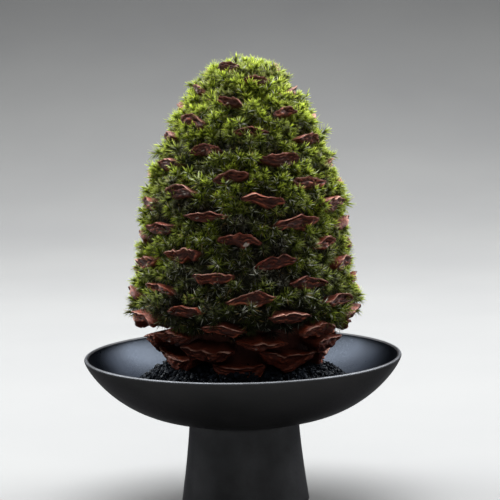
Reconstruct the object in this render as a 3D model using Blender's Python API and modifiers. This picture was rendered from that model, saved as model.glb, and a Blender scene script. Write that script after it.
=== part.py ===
"""A conifer cone overgrown with moss, standing in black grit in a footed bowl.

Lengths are metres, +Z is up, and the origin is the centre of the foot's base.
"""
import math
import random

import bmesh
import bpy
from mathutils import Matrix, Vector

MM = 0.001
CLEARANCE = 0.3 * MM
SHORTEST_EDGE = 0.02 * MM
MERGE_DISTANCE = 0.01 * MM
SHARP_ANGLE = math.radians(40)

# Bowl and foot: turned sheet metal
TURN_STEPS = 40
BOWL_RADIUS = 80.0 * MM
BOWL_LIP_HEIGHT = 75.5 * MM
BOWL_WALL = 2.0 * MM
BOWL_CURVE_POWER = 1.58
BOWL_REACH_POWER = 0.94
BOWL_CURVE_STEPS = 10
BOWL_FLOOR_DROP = 0.4 * MM
LIP_INSIDE = (0.35 * BOWL_WALL, 0.1 * BOWL_WALL)
LIP_CREST = 0.25 * BOWL_WALL
FOOT_TOP_RADIUS = 27.7 * MM
FOOT_TOP_HEIGHT = 43.65 * MM
FOOT_BASE_RADIUS = 32.5 * MM
FOOT_WALL = 2.4 * MM
FOOT_RIM_WIDTH = 3.6 * MM
FOOT_RIM_HEIGHT = 2.5 * MM
FOOT_FLARE_POWER = 1.35
FOOT_FLARE_STEPS = 4

# Grit, heaped round the cone's base
GRIT_TOP_HEIGHT = 75.0 * MM
GRIT_TOP_RADIUS = 32.0 * MM
GRIT_EDGE_HEIGHT = 57.5 * MM
GRIT_STEPS = 66
GRIT_ROWS = 9
GRIT_RAISED_SHARE = 0.45
GRIT_RAISED = (1.0 * MM, 2.2 * MM)
GRIT_SUNK = (0.0, 0.6 * MM)
GRIT_STRAY = 0.9 * MM
GRIT_SEED = 11

# Cone: its outline is that of its scale tips, as (height, radius) from the top down
CONE_OUTLINE = [
    (225 * MM, 0.0), (222 * MM, 13.5 * MM), (215 * MM, 22 * MM), (200 * MM, 33.3 * MM),
    (175 * MM, 44 * MM), (158 * MM, 50.3 * MM), (136 * MM, 52.5 * MM), (115 * MM, 56 * MM),
    (103 * MM, 58.8 * MM), (92 * MM, 54 * MM), (80 * MM, 45 * MM), (70 * MM, 35.5 * MM),
]
CONE_LEAN = 2.0 / 150.0
CONE_OFFSET = 1.0 * MM
CONE_OFFSET_HEIGHT = 75 * MM
CORE_SHARE = 0.70
CORE_TOP = (214 * MM, 0.0)
CORE_WAIST = 88 * MM
CORE_BASE = [(80 * MM, 34 * MM), (70 * MM, 27 * MM), (61 * MM, 0.0)]
CORE_SUBDIVISIONS = 3

# Scales: one golden-angle spiral, counted from the tip down
GOLDEN_ANGLE = math.radians(137.50776)
SCALE_COUNT = 110
SCALE_FIRST = 2
SCALE_LOWEST = 71 * MM
SCALE_FIRST_SHARE = -0.4 / SCALE_COUNT
SCALE_FIRST_ANGLE = math.radians(317.6)
SPIRAL_TWIST = math.radians(5.4) / (75 * MM)
SPIRAL_TWIST_HEIGHT = 150 * MM
SPACING_SHIFT = 0.05
SPACING_SKEW = -0.12
SCALE_PROUD = -2.0 * MM
SCALE_LENGTH = 23.0 * MM
TOP_HALF_WIDTH = 5.2 * MM
FULL_HALF_WIDTH = 11.5 * MM
WIDENING_HEIGHT = 70 * MM
WIDENING_POWER = 0.8
LOW_SCALES_HEIGHT = 96 * MM
LOW_SCALES_DEPTH = 20 * MM
LOW_SCALES_WIDENING = 0.15
LOW_SCALES_THICKENING = 0.6
SCALE_SIDES = 6
SCALE_THICKNESS = 0.36
SCALE_ROOT_WIDTH = 0.55
SCALE_KEEL = 0.10
SCALE_LIFT_ABOVE = 0.75
SCALE_LIFT_BELOW = 0.35
SCALE_LIFT_JITTER = (math.radians(-4), math.radians(8))
SCALE_ROLL_JITTER = (math.radians(-9), math.radians(9))
SCALE_WIDTH_JITTER = (0.88, 1.12)
SCALE_SEED = 5

# Moss: shoots in tufts over the cone, above its bare lowest scales
MOSS_LOW = 88 * MM
MOSS_EDGE_RADIUS = 51 * MM
MOSS_POINTS = 1290
MOSS_UNDERSIDE_SHARE = 0.12
MOSS_TUFT_HEIGHT = 4.2 * MM
MOSS_TUFT_JITTER = 1.4 * MM
MOSS_SEED = 3

# Room that the grit and the moss leave round the cone
CORE_ROOM = 1.5 * CLEARANCE
SCALE_ROOM = 1.3 * CLEARANCE
SCALE_SIDE_ROOM = 1.6 * SCALE_ROOM
GRIT_TIP_ROOM = 0.18
MOSS_TIP_ROOM = 0.48


class Outline:
    """A turned outline read from its top on the axis down, with the area it sweeps as a ruler."""

    def __init__(self, corners, steps=12):
        self.points = smooth_curve(corners, steps)
        self.areas = [0.0]
        for (z0, r0), (z1, r1) in zip(self.points, self.points[1:]):
            band = math.pi * (r0 + r1) * math.hypot(z1 - z0, r1 - r0)
            self.areas.append(self.areas[-1] + band)

    def at_share(self, share):
        """Return height, radius and lift of the surface where this share of the area lies above.

        The lift is the angle of the outward direction above the horizontal.
        """
        wanted = min(max(share, 0.0), 1.0) * self.areas[-1]
        index = 1
        while index < len(self.areas) - 1 and self.areas[index] < wanted:
            index += 1
        (z0, r0), (z1, r1) = self.points[index - 1], self.points[index]
        span = self.areas[index] - self.areas[index - 1]
        part = (wanted - self.areas[index - 1]) / span if span else 0.0
        lift = math.atan2(r1 - r0, z0 - z1)
        return z0 + part * (z1 - z0), r0 + part * (r1 - r0), lift


def smooth_curve(corners, steps):
    """Return points on a Catmull-Rom curve through (height, radius) corners."""
    ends = [corners[0]] + list(corners) + [corners[-1]]
    points = [corners[0]]
    for a, b, c, d in zip(ends, ends[1:], ends[2:], ends[3:]):
        for step in range(1, steps + 1):
            t = step / steps
            points.append(tuple(
                0.5 * (2 * q + (r - p) * t + (2 * p - 5 * q + 4 * r - s) * t * t
                       + (3 * q - p - 3 * r + s) * t ** 3)
                for p, q, r, s in zip(a, b, c, d)))
    return [(height, max(radius, 0.0)) for height, radius in points]


def axis_point(height):
    """Return the point at a height on the cone's slightly leaning axis."""
    return Vector((CONE_OFFSET + CONE_LEAN * (height - CONE_OFFSET_HEIGHT), 0.0, height))


def direction(angle, lift):
    """Return the unit vector at an angle round the axis and a lift above the horizontal."""
    return Vector((math.cos(angle) * math.cos(lift), math.sin(angle) * math.cos(lift), math.sin(lift)))


def make_material(name, color, roughness, metallic=0.0):
    material = bpy.data.materials.new(name)
    material.use_nodes = True
    shader = material.node_tree.nodes["Principled BSDF"]
    shader.inputs["Base Color"].default_value = (*color, 1.0)
    shader.inputs["Roughness"].default_value = roughness
    shader.inputs["Metallic"].default_value = metallic
    material.diffuse_color = (*color, 1.0)
    return material


def add_object(name, mesh, collection, material=None):
    item = bpy.data.objects.new(name, mesh)
    collection.objects.link(item)
    if material:
        mesh.materials.append(material)
    return item


def finish_mesh(bm, name):
    """Write a bmesh to a new mesh and free it."""
    mesh = bpy.data.meshes.new(name)
    bm.to_mesh(mesh)
    bm.free()
    return mesh


def turned(name, profile, collection, material, steps=TURN_STEPS):
    """Turn a profile of (radius, height) points round the Z axis: a ring if it ends where it starts."""
    bm = bmesh.new()
    ring = profile[0] == profile[-1]
    corners = [bm.verts.new((radius, 0.0, height)) for radius, height in profile[:-1 if ring else None]]
    for first, second in zip(corners, corners[1:] + corners[:1] * ring):
        bm.edges.new((first, second))
    item = add_object(name, finish_mesh(bm, name), collection, material)
    screw = item.modifiers.new("turn", "SCREW")
    screw.angle = math.tau
    screw.steps = steps
    screw.render_steps = steps
    screw.use_merge_vertices = True
    screw.merge_threshold = MERGE_DISTANCE
    apply_modifiers(item)
    item.data.shade_smooth()
    item.data.set_sharp_from_angle(angle=SHARP_ANGLE)
    return item


def apply_modifiers(item):
    """Replace an object's mesh by what its modifiers make of it."""
    graph = bpy.context.evaluated_depsgraph_get()
    mesh = bpy.data.meshes.new_from_object(item.evaluated_get(graph))
    item.modifiers.clear()
    item.data = mesh


def combine(item, tools, operation, solver="EXACT"):
    """Join or cut an object with all of a collection's objects at once, and keep one body."""
    boolean = item.modifiers.new("combine", "BOOLEAN")
    boolean.operation = operation
    boolean.operand_type = "COLLECTION"
    boolean.collection = tools
    boolean.solver = solver
    apply_modifiers(item)
    keep_largest_body(item.data)


def clear_collection(collection):
    for item in list(collection.objects):
        bpy.data.objects.remove(item, do_unlink=True)
    bpy.data.collections.remove(collection)


def keep_largest_body(mesh):
    """Drop the loose scraps and the hair-fine edges that a cut leaves, so that one body stays."""
    bm = bmesh.new()
    bm.from_mesh(mesh)
    unseen = set(bm.verts)
    bodies = []
    while unseen:
        front = [unseen.pop()]
        body = list(front)
        while front:
            for edge in front.pop().link_edges:
                for vert in edge.verts:
                    if vert in unseen:
                        unseen.remove(vert)
                        front.append(vert)
                        body.append(vert)
        bodies.append(body)
    bodies.sort(key=len)
    scraps = [vert for body in bodies[:-1] for vert in body]
    bmesh.ops.delete(bm, geom=scraps, context="VERTS")
    bmesh.ops.dissolve_degenerate(bm, dist=SHORTEST_EDGE, edges=bm.edges[:])
    bm.to_mesh(mesh)
    bm.free()


def bowl_underside(turn):
    """Return (radius, height) on the bowl's outside, from turn 0 at its lip to 1 at the foot."""
    angle = turn * math.pi / 2
    reach = math.cos(angle) ** BOWL_REACH_POWER
    radius = FOOT_TOP_RADIUS + (BOWL_RADIUS - FOOT_TOP_RADIUS) * reach
    rise = 1 - math.sin(angle) ** BOWL_CURVE_POWER
    height = FOOT_TOP_HEIGHT + (BOWL_LIP_HEIGHT - BOWL_WALL / 2 - FOOT_TOP_HEIGHT) * rise
    return radius, height


def bowl_outside():
    """Return the bowl's outside from its lip down to its centre."""
    curve = [bowl_underside(step / BOWL_CURVE_STEPS) for step in range(BOWL_CURVE_STEPS + 1)]
    return curve + [(0.0, FOOT_TOP_HEIGHT - BOWL_FLOOR_DROP)]


def offset_inward(profile, distance):
    """Return a profile moved square to itself, up and towards the axis."""
    moved = []
    for index, (radius, height) in enumerate(profile):
        before = profile[max(index - 1, 0)]
        after = profile[min(index + 1, len(profile) - 1)]
        along = Vector((after[0] - before[0], after[1] - before[1])).normalized()
        moved.append((max(radius + along.y * distance, 0.0), height - along.x * distance))
    moved[-1] = (0.0, profile[-1][1] + distance)
    return moved


def bowl_inside():
    """Return the bowl's inside from just under its lip down to its centre."""
    return offset_inward(bowl_outside(), BOWL_WALL)[1::2]


def make_bowl(collection):
    lip_middle = BOWL_RADIUS - BOWL_WALL / 2
    lip = [
        (lip_middle - LIP_INSIDE[0], BOWL_LIP_HEIGHT - LIP_INSIDE[1]),
        (lip_middle + LIP_CREST, BOWL_LIP_HEIGHT),
    ]
    material = make_material("blackened_metal", (0.028, 0.028, 0.032), 0.38, 0.85)
    return turned("bowl", bowl_inside()[::-1] + lip + bowl_outside(), collection, material)


def make_foot(collection):
    """Make the flared hollow foot, whose top follows the bowl's underside."""
    material = make_material("blackened_metal_foot", (0.026, 0.026, 0.030), 0.42, 0.85)
    top = FOOT_TOP_HEIGHT - CLEARANCE
    outside = []
    for step in range(FOOT_FLARE_STEPS + 1):
        fall = step / FOOT_FLARE_STEPS
        radius = FOOT_TOP_RADIUS + (FOOT_BASE_RADIUS - FOOT_TOP_RADIUS) * fall ** FOOT_FLARE_POWER
        outside.append((radius, top * (1 - fall)))
    rim_inside = FOOT_BASE_RADIUS - FOOT_RIM_WIDTH
    inside = [(rim_inside, 0.0), (rim_inside, FOOT_RIM_HEIGHT)]
    inside += [(radius - FOOT_WALL, height) for radius, height in outside[-3:0:-2]]
    seat = (FOOT_TOP_RADIUS - FOOT_WALL, top - CLEARANCE)
    return turned("foot", outside + inside + [seat, outside[0]], collection, material)


def grit_wall():
    """Return the grit's side against the bowl, from the heap's edge down to the centre."""
    wall = offset_inward(bowl_inside(), 2 * CLEARANCE)
    below = [point for point in wall if point[1] < GRIT_EDGE_HEIGHT]
    above = wall[-len(below) - 1]
    share = (GRIT_EDGE_HEIGHT - below[0][1]) / (above[1] - below[0][1])
    edge_radius = below[0][0] + share * (above[0] - below[0][0])
    return [(edge_radius, GRIT_EDGE_HEIGHT)] + below


def make_grit(collection):
    """Turn the heap of grit, then shift the points of its top and raise some of them, by seeded amounts."""
    material = make_material("black_grit", (0.012, 0.013, 0.014), 0.75)
    wall = grit_wall()
    row_width = (wall[0][0] - GRIT_TOP_RADIUS) / GRIT_ROWS
    slope = []
    for row in range(GRIT_ROWS):
        height = GRIT_TOP_HEIGHT + (GRIT_EDGE_HEIGHT - GRIT_TOP_HEIGHT) * row / GRIT_ROWS
        slope.append((GRIT_TOP_RADIUS + row * row_width, height))
    profile = [(0.0, GRIT_TOP_HEIGHT)] + slope + wall
    grit = turned("grit", profile, collection, material, GRIT_STEPS)
    grit.data.shade_flat()
    rng = random.Random(GRIT_SEED)
    for vertex in grit.data.vertices:
        row = round((math.hypot(vertex.co.x, vertex.co.y) - GRIT_TOP_RADIUS) / row_width)
        if 0 <= row < GRIT_ROWS and vertex.co.z > GRIT_EDGE_HEIGHT:
            raised = rng.uniform(*GRIT_RAISED) * (rng.random() < GRIT_RAISED_SHARE)
            stray = (rng.uniform(-GRIT_STRAY, GRIT_STRAY), rng.uniform(-GRIT_STRAY, GRIT_STRAY))
            vertex.co += Vector((*stray, raised - rng.uniform(*GRIT_SUNK)))
    return grit


def scale_sites(outline):
    """Yield the middle, outward direction, roll, half width and half thickness of each scale's tip."""
    rng = random.Random(SCALE_SEED)
    for count in range(SCALE_FIRST, SCALE_COUNT + 1):
        share = min(max(count / SCALE_COUNT + SCALE_FIRST_SHARE, 0.0), 1.0)
        bend = share * (1 - share)
        share += SPACING_SHIFT * bend + SPACING_SKEW * bend * (1 - 2 * share)
        height, radius, lift = outline.at_share(share)
        if height < SCALE_LOWEST:
            return
        angle = SCALE_FIRST_ANGLE + GOLDEN_ANGLE * count
        angle += SPIRAL_TWIST * (height - SPIRAL_TWIST_HEIGHT)
        lift *= SCALE_LIFT_ABOVE if lift > 0 else SCALE_LIFT_BELOW
        lift += rng.uniform(*SCALE_LIFT_JITTER)
        middle = axis_point(height) + direction(angle, 0) * radius
        half_width = scale_half_width(height) * rng.uniform(*SCALE_WIDTH_JITTER)
        low = min(max((LOW_SCALES_HEIGHT - height) / LOW_SCALES_DEPTH, 0.0), 1.0)
        half_thickness = half_width * SCALE_THICKNESS * (1 + LOW_SCALES_THICKENING * low)
        half_width *= 1 + LOW_SCALES_WIDENING * low
        yield middle, direction(angle, lift), rng.uniform(*SCALE_ROLL_JITTER), half_width, half_thickness


def scale_half_width(height):
    """Return half of a scale's width: broad at the middle of the cone, small at its tip."""
    down = min((CONE_OUTLINE[0][0] - height) / WIDENING_HEIGHT, 1.0)
    return TOP_HALF_WIDTH + (FULL_HALF_WIDTH - TOP_HALF_WIDTH) * down ** WIDENING_POWER


def make_scale_mesh(tip_room):
    """Make one scale of unit half sizes: its root at z = -1, its keeled tip at z = 0.

    A cutter has a straight stretch of that length in place of the keel.
    """
    bm = bmesh.new()
    bmesh.ops.create_cone(
        bm, cap_ends=True, segments=SCALE_SIDES, radius1=SCALE_ROOT_WIDTH, radius2=1.0, depth=1.0,
        matrix=Matrix.Rotation(math.pi / 2, 4, "Z") @ Matrix.Translation((0, 0, -0.5)))
    front = max(bm.faces, key=lambda face: face.calc_center_median().z)
    if tip_room:
        mouth = bmesh.ops.extrude_discrete_faces(bm, faces=[front])["faces"][0]
        bmesh.ops.translate(bm, vec=(0, 0, tip_room), verts=mouth.verts)
    else:
        bmesh.ops.poke(bm, faces=[front], offset=SCALE_KEEL)
    return finish_mesh(bm, "scale")


def place_scales(name, outline, room=0.0, side_room=0.0, tip_room=0.0):
    """Fill a new collection with scales, or with cutters that leave room round them."""
    collection = bpy.data.collections.new(name)
    bpy.context.scene.collection.children.link(collection)
    mesh = make_scale_mesh(tip_room)
    for middle, outward, roll, half_width, half_thickness in scale_sites(outline):
        across = Vector((0, 0, 1)).cross(outward).normalized()
        turn = Matrix((across, outward.cross(across), outward)).transposed().to_4x4()
        sizes = (half_width + side_room, half_thickness + room, SCALE_LENGTH)
        item = bpy.data.objects.new(name, mesh)
        item.matrix_world = (Matrix.Translation(middle + outward * SCALE_PROUD) @ turn
                             @ Matrix.Rotation(roll, 4, "Z") @ Matrix.Diagonal((*sizes, 1)))
        collection.objects.link(item)
    return collection


def make_core(name, room, collection, material=None):
    """Make the cone's solid core, which its scales stand out of, grown by some room."""
    bm = bmesh.new()
    bmesh.ops.create_icosphere(bm, subdivisions=CORE_SUBDIVISIONS, radius=1.0)
    sides = [(height, radius * CORE_SHARE) for height, radius in CONE_OUTLINE
             if CORE_WAIST < height < CORE_TOP[0]]
    outline = Outline([CORE_TOP] + sides + CORE_BASE)
    for vertex in bm.verts:
        height, radius, lift = outline.at_share((1 - vertex.co.z) / 2)
        angle = math.atan2(vertex.co.y, vertex.co.x)
        surface = axis_point(height) + direction(angle, 0) * radius
        vertex.co = surface + direction(angle, lift) * room
    return add_object(name, finish_mesh(bm, name), collection, material)


def make_cone(outline, collection):
    material = make_material("cone_wood", (0.16, 0.055, 0.03), 0.55)
    cone = make_core("pine_cone", 0.0, collection, material)
    scales = place_scales("cone_scales", outline)
    combine(cone, scales, "UNION")
    clear_collection(scales)


def spiral_sphere(count):
    """Make a closed sphere of golden-angle points in a new bmesh, in order from its top down."""
    bm = bmesh.new()
    for index in range(count):
        height = 1 - (2 * index + 1) / count
        ring = math.sqrt(1 - height * height)
        angle = GOLDEN_ANGLE * index
        bm.verts.new((ring * math.cos(angle), ring * math.sin(angle), height))
    bmesh.ops.convex_hull(bm, input=bm.verts)
    return bm


def pick_tufts(bm):
    """Pick points so that no two picked ones adjoin and every other one adjoins a picked one."""
    picked = set()
    for vertex in bm.verts:
        if not any(edge.other_vert(vertex) in picked for edge in vertex.link_edges):
            picked.add(vertex)
    return picked


def make_moss(collection):
    """Raise tufts over the cone's outline, to be cut clear of the cone."""
    material = make_material("moss", (0.10, 0.16, 0.025), 0.9)
    covered = [point for point in CONE_OUTLINE if point[0] > MOSS_LOW]
    cover = Outline(covered + [(MOSS_LOW, MOSS_EDGE_RADIUS)])
    rng = random.Random(MOSS_SEED)
    bm = spiral_sphere(MOSS_POINTS)
    tufts = pick_tufts(bm)
    for vertex in bm.verts:
        share = (1 - vertex.co.z) / 2 / (1 - MOSS_UNDERSIDE_SHARE)
        angle = math.atan2(vertex.co.y, vertex.co.x)
        depth = rng.uniform(0, MOSS_TUFT_JITTER)
        if share > 1:
            inward = (share - 1) * (1 - MOSS_UNDERSIDE_SHARE) / MOSS_UNDERSIDE_SHARE
            radius = (MOSS_EDGE_RADIUS - MOSS_TUFT_HEIGHT) * math.sqrt(1 - inward)
            vertex.co = axis_point(MOSS_LOW) + direction(angle, 0) * radius
            continue
        height, radius, lift = cover.at_share(share)
        if vertex not in tufts:
            depth += MOSS_TUFT_HEIGHT
        surface = axis_point(height) + direction(angle, 0) * radius
        vertex.co = surface - direction(angle, lift) * depth
        vertex.co.z = max(vertex.co.z, MOSS_LOW)
    return add_object("moss", finish_mesh(bm, "moss"), collection, material)


def cut_clear_of_cone(item, outline, tip_room):
    """Cut an object clear of the cone's core and scales."""
    cutters = place_scales("cone_cutters", outline, SCALE_ROOM, SCALE_SIDE_ROOM, tip_room)
    make_core("core_cutter", CORE_ROOM, cutters)
    for cutter in cutters.objects:
        cutter.hide_render = True
        cutter.display_type = "WIRE"
    combine(item, cutters, "DIFFERENCE", "MANIFOLD")
    clear_collection(cutters)


def build():
    for item in list(bpy.data.objects):
        bpy.data.objects.remove(item, do_unlink=True)
    parts = bpy.data.collections.new("moss_bowl_garden")
    bpy.context.scene.collection.children.link(parts)
    make_bowl(parts)
    make_foot(parts)
    outline = Outline(CONE_OUTLINE)
    grit = make_grit(parts)
    cut_clear_of_cone(grit, outline, GRIT_TIP_ROOM)
    make_cone(outline, parts)
    moss = make_moss(parts)
    cut_clear_of_cone(moss, outline, MOSS_TIP_ROOM)


build()
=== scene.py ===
"""Dresses the moss bowl garden: a mossy conifer cone in black grit, in a footed metal bowl.

Lengths are metres. The values that shape the solids are those of the part's own source.
"""
import itertools
import math
import random

import bpy
import numpy as np
from mathutils import Matrix, Quaternion, Vector


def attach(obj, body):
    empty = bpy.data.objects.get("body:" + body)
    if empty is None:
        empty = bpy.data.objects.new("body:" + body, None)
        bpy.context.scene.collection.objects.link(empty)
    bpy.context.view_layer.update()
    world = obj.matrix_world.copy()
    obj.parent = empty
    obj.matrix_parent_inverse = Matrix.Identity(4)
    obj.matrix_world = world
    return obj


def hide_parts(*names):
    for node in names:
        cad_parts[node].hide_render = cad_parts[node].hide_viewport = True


MM = 0.001
BODY = "root"
CLEARANCE = 0.3 * MM
GOLDEN_ANGLE = math.radians(137.50776)
GOLDEN_RATIO = (1 + math.sqrt(5)) / 2
TURN_STRAY = 0.02

# Waves, whose tuples of sizes below are (size, height) or (size, height, count)
WAVE_LENGTHS = (0.7, 1.5)
WAVE_HEIGHT = 0.6

# Camera, fitted to the photograph
CAMERA_PLACE = (0.0, -0.94338681, 0.23996126)
CAMERA_FORWARD = (0.00488879, 0.99302671, -0.11778818)
CAMERA_ROLL = math.radians(1.129)
CAMERA_LENS = 136.16
CAMERA_SENSOR = 36.0
CAMERA_CLIP = (0.05, 50.0)

# Studio: a floor that bends up into a wall, and lights as (name, place, size, power, colour)
FLOOR_REACH = 9.0
BEND_START = 0.9
BEND_RADIUS = 2.0
BEND_STEPS = 16
WALL_HEIGHT = 3.0
LIGHT_TARGET = (0, 0, 0.13)
COOL = (0.97, 0.99, 1)
WARM = (1, 0.98, 0.96)
WHITE = (1, 1, 1)
LIGHTS = (
    ("key", (-0.04, 0.35, 1.30), 1.5, 78, COOL),
    ("left", (-1.17, 0.40, 1.12), 0.9, 30, COOL),
    ("right", (1.17, 0.40, 1.12), 0.9, 36, COOL),
    ("left_back", (-0.95, 0.95, 0.90), 0.7, 7, WARM),
    ("right_back", (0.95, 0.95, 0.90), 0.7, 9, WARM),
    ("fill", (0.15, -1.7, 1.2), 1.0, 6.6, WHITE),
)
WORLD_COLOR = (0.9, 0.95, 1.0, 1.0)
WORLD_STRENGTH = 0.06

# Colours, as one colour or as a pair to blend between
METAL_OUTER = ((0.031, 0.031, 0.031), (0.041, 0.04, 0.041))
# Painted sky reflection: the blue-grey tint inside the bowl
METAL_INNER_SKY_REFLECTION = ((0.017, 0.0197, 0.0245), (0.0235, 0.027, 0.0332))
# Lighter metal on the lip and the foot: rubbing, with a painted highlight along the lip
METAL_WORN_AND_HIGHLIGHT = (0.12, 0.125, 0.135)
METAL_EDGE_TINT = (0.42, 0.42, 0.43)
WOOD_GRAIN = ((0.02, 0.0035, 0.002), (0.19, 0.034, 0.013))
WOOD_WARMTH = ((0.75, 0.6, 0.62), (1.3, 1.2, 0.9))
WOOD_BLOTCH = (0.18, 0.05, 0.03)
WOOD_ROOT = (0.08, 0.024, 0.014)
LEAF_DRY = (0.36, 0.25, 0.1)
# Painted glints: the colour of the pale leaves
LEAF_GLINT = (0.5, 0.5, 0.43)
# The matted bed under the shoots, darkened as painted shade in the gaps
BED_TONES_AND_SHADE = ((0.005, 0.006, 0.002), (0.025, 0.032, 0.009))
GRIT_TONES = ((0.003, 0.0032, 0.0042), (0.012, 0.0145, 0.021))
GRIT_DUST = (0.012, 0.013, 0.015)
GRIT_SHINE = (0.62, 0.82, 1.0)
FLOOR_TONES = ((0.13, 0.13, 0.13), (0.142, 0.142, 0.14))

# Layers on the wood: value, how streaks break it, how much shows, and colour. The first is a painted sheen
# of the sky on the upper scales, the second painted shade in the hollows of the faces, the third a painted
# highlight on the ridges, the fourth pale rubbing with a painted highlight along the crests, and the last
# the grey knob's own colour.
WOOD_LAYERS = (
    ("sky_sheen", (0.45, 0.62, 0.0, 1.0), (0.0, 1.0, 0.0, 0.65), (0.33, 0.155, 0.12)),
    ("hollow", (0.3, 0.65, 1.0, 0.62), (0.0, 1.0, 0.0, 1.0), (0.01, 0.002, 0.0012)),
    ("ridge", (0.3, 0.6, 0.3, 1.1), (0.2, 0.6, 0.0, 0.85), (0.37, 0.105, 0.055)),
    ("crest", (0.3, 0.62, 0.5, 1.15), (0.3, 0.8, 0.0, 1.0), (0.39, 0.2, 0.147)),
    ("umbo", (0.25, 0.55, 0.5, 1.2), (0.3, 0.6, 0.0, 1.0), (0.42, 0.36, 0.31)),
)

# Leaf colours as (share of the leaf's length, colour), dark at the low end as painted shade
MOSS_FRESH = [(0.0, (0.012, 0.015, 0.003)), (0.3, (0.08, 0.108, 0.01)),
              (0.75, (0.43, 0.53, 0.03)), (1.0, (0.86, 0.96, 0.15))]
MOSS_OLD = [(0.0, (0.007, 0.006, 0.003)), (0.45, (0.04, 0.036, 0.023)), (1.0, (0.29, 0.275, 0.19))]

# Sizes and depths of surface texture
METAL_CLOUD_SIZE = 30 * MM
METAL_WEAR_AND_HIGHLIGHT_SIZE = 8 * MM
METAL_FINE_SIZE = 1.2 * MM
METAL_FINE_DEPTH = 0.03 * MM
WOOD_STRETCH = (0.32, 1.0, 1.0)
WOOD_STREAK_SIZE = 1 * MM
WOOD_STREAK_DEPTH = 0.6 * MM
WOOD_BLOTCH_SIZE = 7 * MM
WOOD_FINE_SIZE = 0.35 * MM
WOOD_FINE_DEPTH = 0.08 * MM
BED_FIBRE_SIZE = 0.8 * MM
GRIT_DUST_SIZE = 0.5 * MM
GRIT_DUST_DEPTH = 0.12 * MM
FLOOR_CLOUD_SIZE = 0.25

# Bowl
BOWL_RADIUS = 80 * MM
BOWL_LIP_HEIGHT = 75.5 * MM
BOWL_WALL = 2 * MM
BOWL_CURVE_POWER = 1.58
BOWL_REACH_POWER = 0.94
BOWL_FLOOR_DROP = 0.4 * MM
BOWL_CURVE_STEPS = 36
BOWL_TURN_STEPS = 144
# Lighter round the lip: rubbed metal with a painted highlight on its crest
LIP_WEAR_AND_HIGHLIGHT = [0.0, 0.1, 0.3, 0.8, 1.0, 1.0, 0.8, 0.3]

# Foot
FOOT_TOP_RADIUS = 27.7 * MM
FOOT_TOP_HEIGHT = 43.65 * MM
FOOT_BASE_RADIUS = 32.5 * MM
FOOT_WALL = 2.4 * MM
FOOT_RIM_WIDTH = 3.6 * MM
FOOT_RIM_HEIGHT = 2.5 * MM
FOOT_ROUNDING = 0.5 * MM
FOOT_FLARE_POWER = 1.35
FOOT_FLARE_FALLS = (0.012, 0.985)
FOOT_FLARE_STEPS = 22
FOOT_STRIDE = 4
FOOT_TURN_STEPS = 128
FOOT_WEAR = 0.28
FOOT_BASE_WEAR = 0.5

# Grit
GRIT_TOP_HEIGHT = 75 * MM
GRIT_TOP_RADIUS = 32 * MM
GRIT_EDGE_HEIGHT = 57.5 * MM
WALL_STEPS = 40
HEAP_DEPTH = 1.2 * MM
HEAP_MARGIN = 1.5 * MM
HEAP_ROWS = 20
HEAP_STEPS = 96
GRAIN_SEED = 11
GRAINS = 4600
GRAIN_RADIUS = (0.85 * MM, 1.55 * MM)
GRAIN_INNER = 29 * MM
GRAIN_OUTER = 66 * MM
GRAIN_STRAY = 0.6 * MM
GRAIN_ROOM = 0.6
GRAIN_EDGE_BAND = 1.5 * MM
GRAIN_LUMPS = (7 * MM, 0.5 * MM)
GRAIN_SINK = (-0.9 * MM, 0.5 * MM)
GRAIN_CORNERS = (0.72, 1.25)
GRAIN_STRETCH = (0.7, 1.25)
GRAIN_TONES = (1.3, 2.6)

# Cone: its outline is that of its scale tips, as (height, radius) from the top down
CONE_OUTLINE = [
    (225 * MM, 0.0), (222 * MM, 13.5 * MM), (215 * MM, 22 * MM), (200 * MM, 33.3 * MM),
    (175 * MM, 44 * MM), (158 * MM, 50.3 * MM), (136 * MM, 52.5 * MM), (115 * MM, 56 * MM),
    (103 * MM, 58.8 * MM), (92 * MM, 54 * MM), (80 * MM, 45 * MM), (70 * MM, 35.5 * MM),
]
CONE_LEAN = 2.0 / 150.0
CONE_OFFSET = 1 * MM
CONE_OFFSET_HEIGHT = 75 * MM
CORE_SHARE = 0.70
CORE_TOP = (214 * MM, 0.0)
CORE_WAIST = 88 * MM
CORE_BASE = [(80 * MM, 34 * MM), (70 * MM, 27 * MM), (61 * MM, 0.0)]
CORE_GRID = (40, 64)
CORE_SEED = 2
CORE_ROOT_TONE = 0.85
BARK = (6 * MM, 0.7 * MM)

# Scales: one golden-angle spiral, counted from the tip down
SCALE_COUNT = 110
SCALE_FIRST = 2
SCALE_LOWEST = 71 * MM
SCALE_FIRST_SHARE = -0.4 / SCALE_COUNT
SCALE_FIRST_ANGLE = math.radians(317.6)
SPIRAL_TWIST = math.radians(5.4) / (75 * MM)
SPIRAL_TWIST_HEIGHT = 150 * MM
SPACING_SHIFT = 0.05
SPACING_SKEW = -0.12
SCALE_PROUD = -2 * MM
SCALE_LENGTH = 23 * MM
TOP_HALF_WIDTH = 5.2 * MM
FULL_HALF_WIDTH = 11.5 * MM
WIDENING_HEIGHT = 70 * MM
WIDENING_POWER = 0.8
LOW_SCALES_HEIGHT = 96 * MM
LOW_SCALES_DEPTH = 20 * MM
LOW_SCALES_WIDENING = 0.15
LOW_SCALES_THICKENING = 0.6
SCALE_THICKNESS = 0.36
SCALE_LIFT_ABOVE = 0.75
SCALE_LIFT_BELOW = 0.35
SCALE_LIFT_JITTER = (math.radians(-4), math.radians(8))
SCALE_ROLL_JITTER = (math.radians(-9), math.radians(9))
SCALE_WIDTH_JITTER = (0.88, 1.12)
SCALE_SEED = 5

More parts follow.
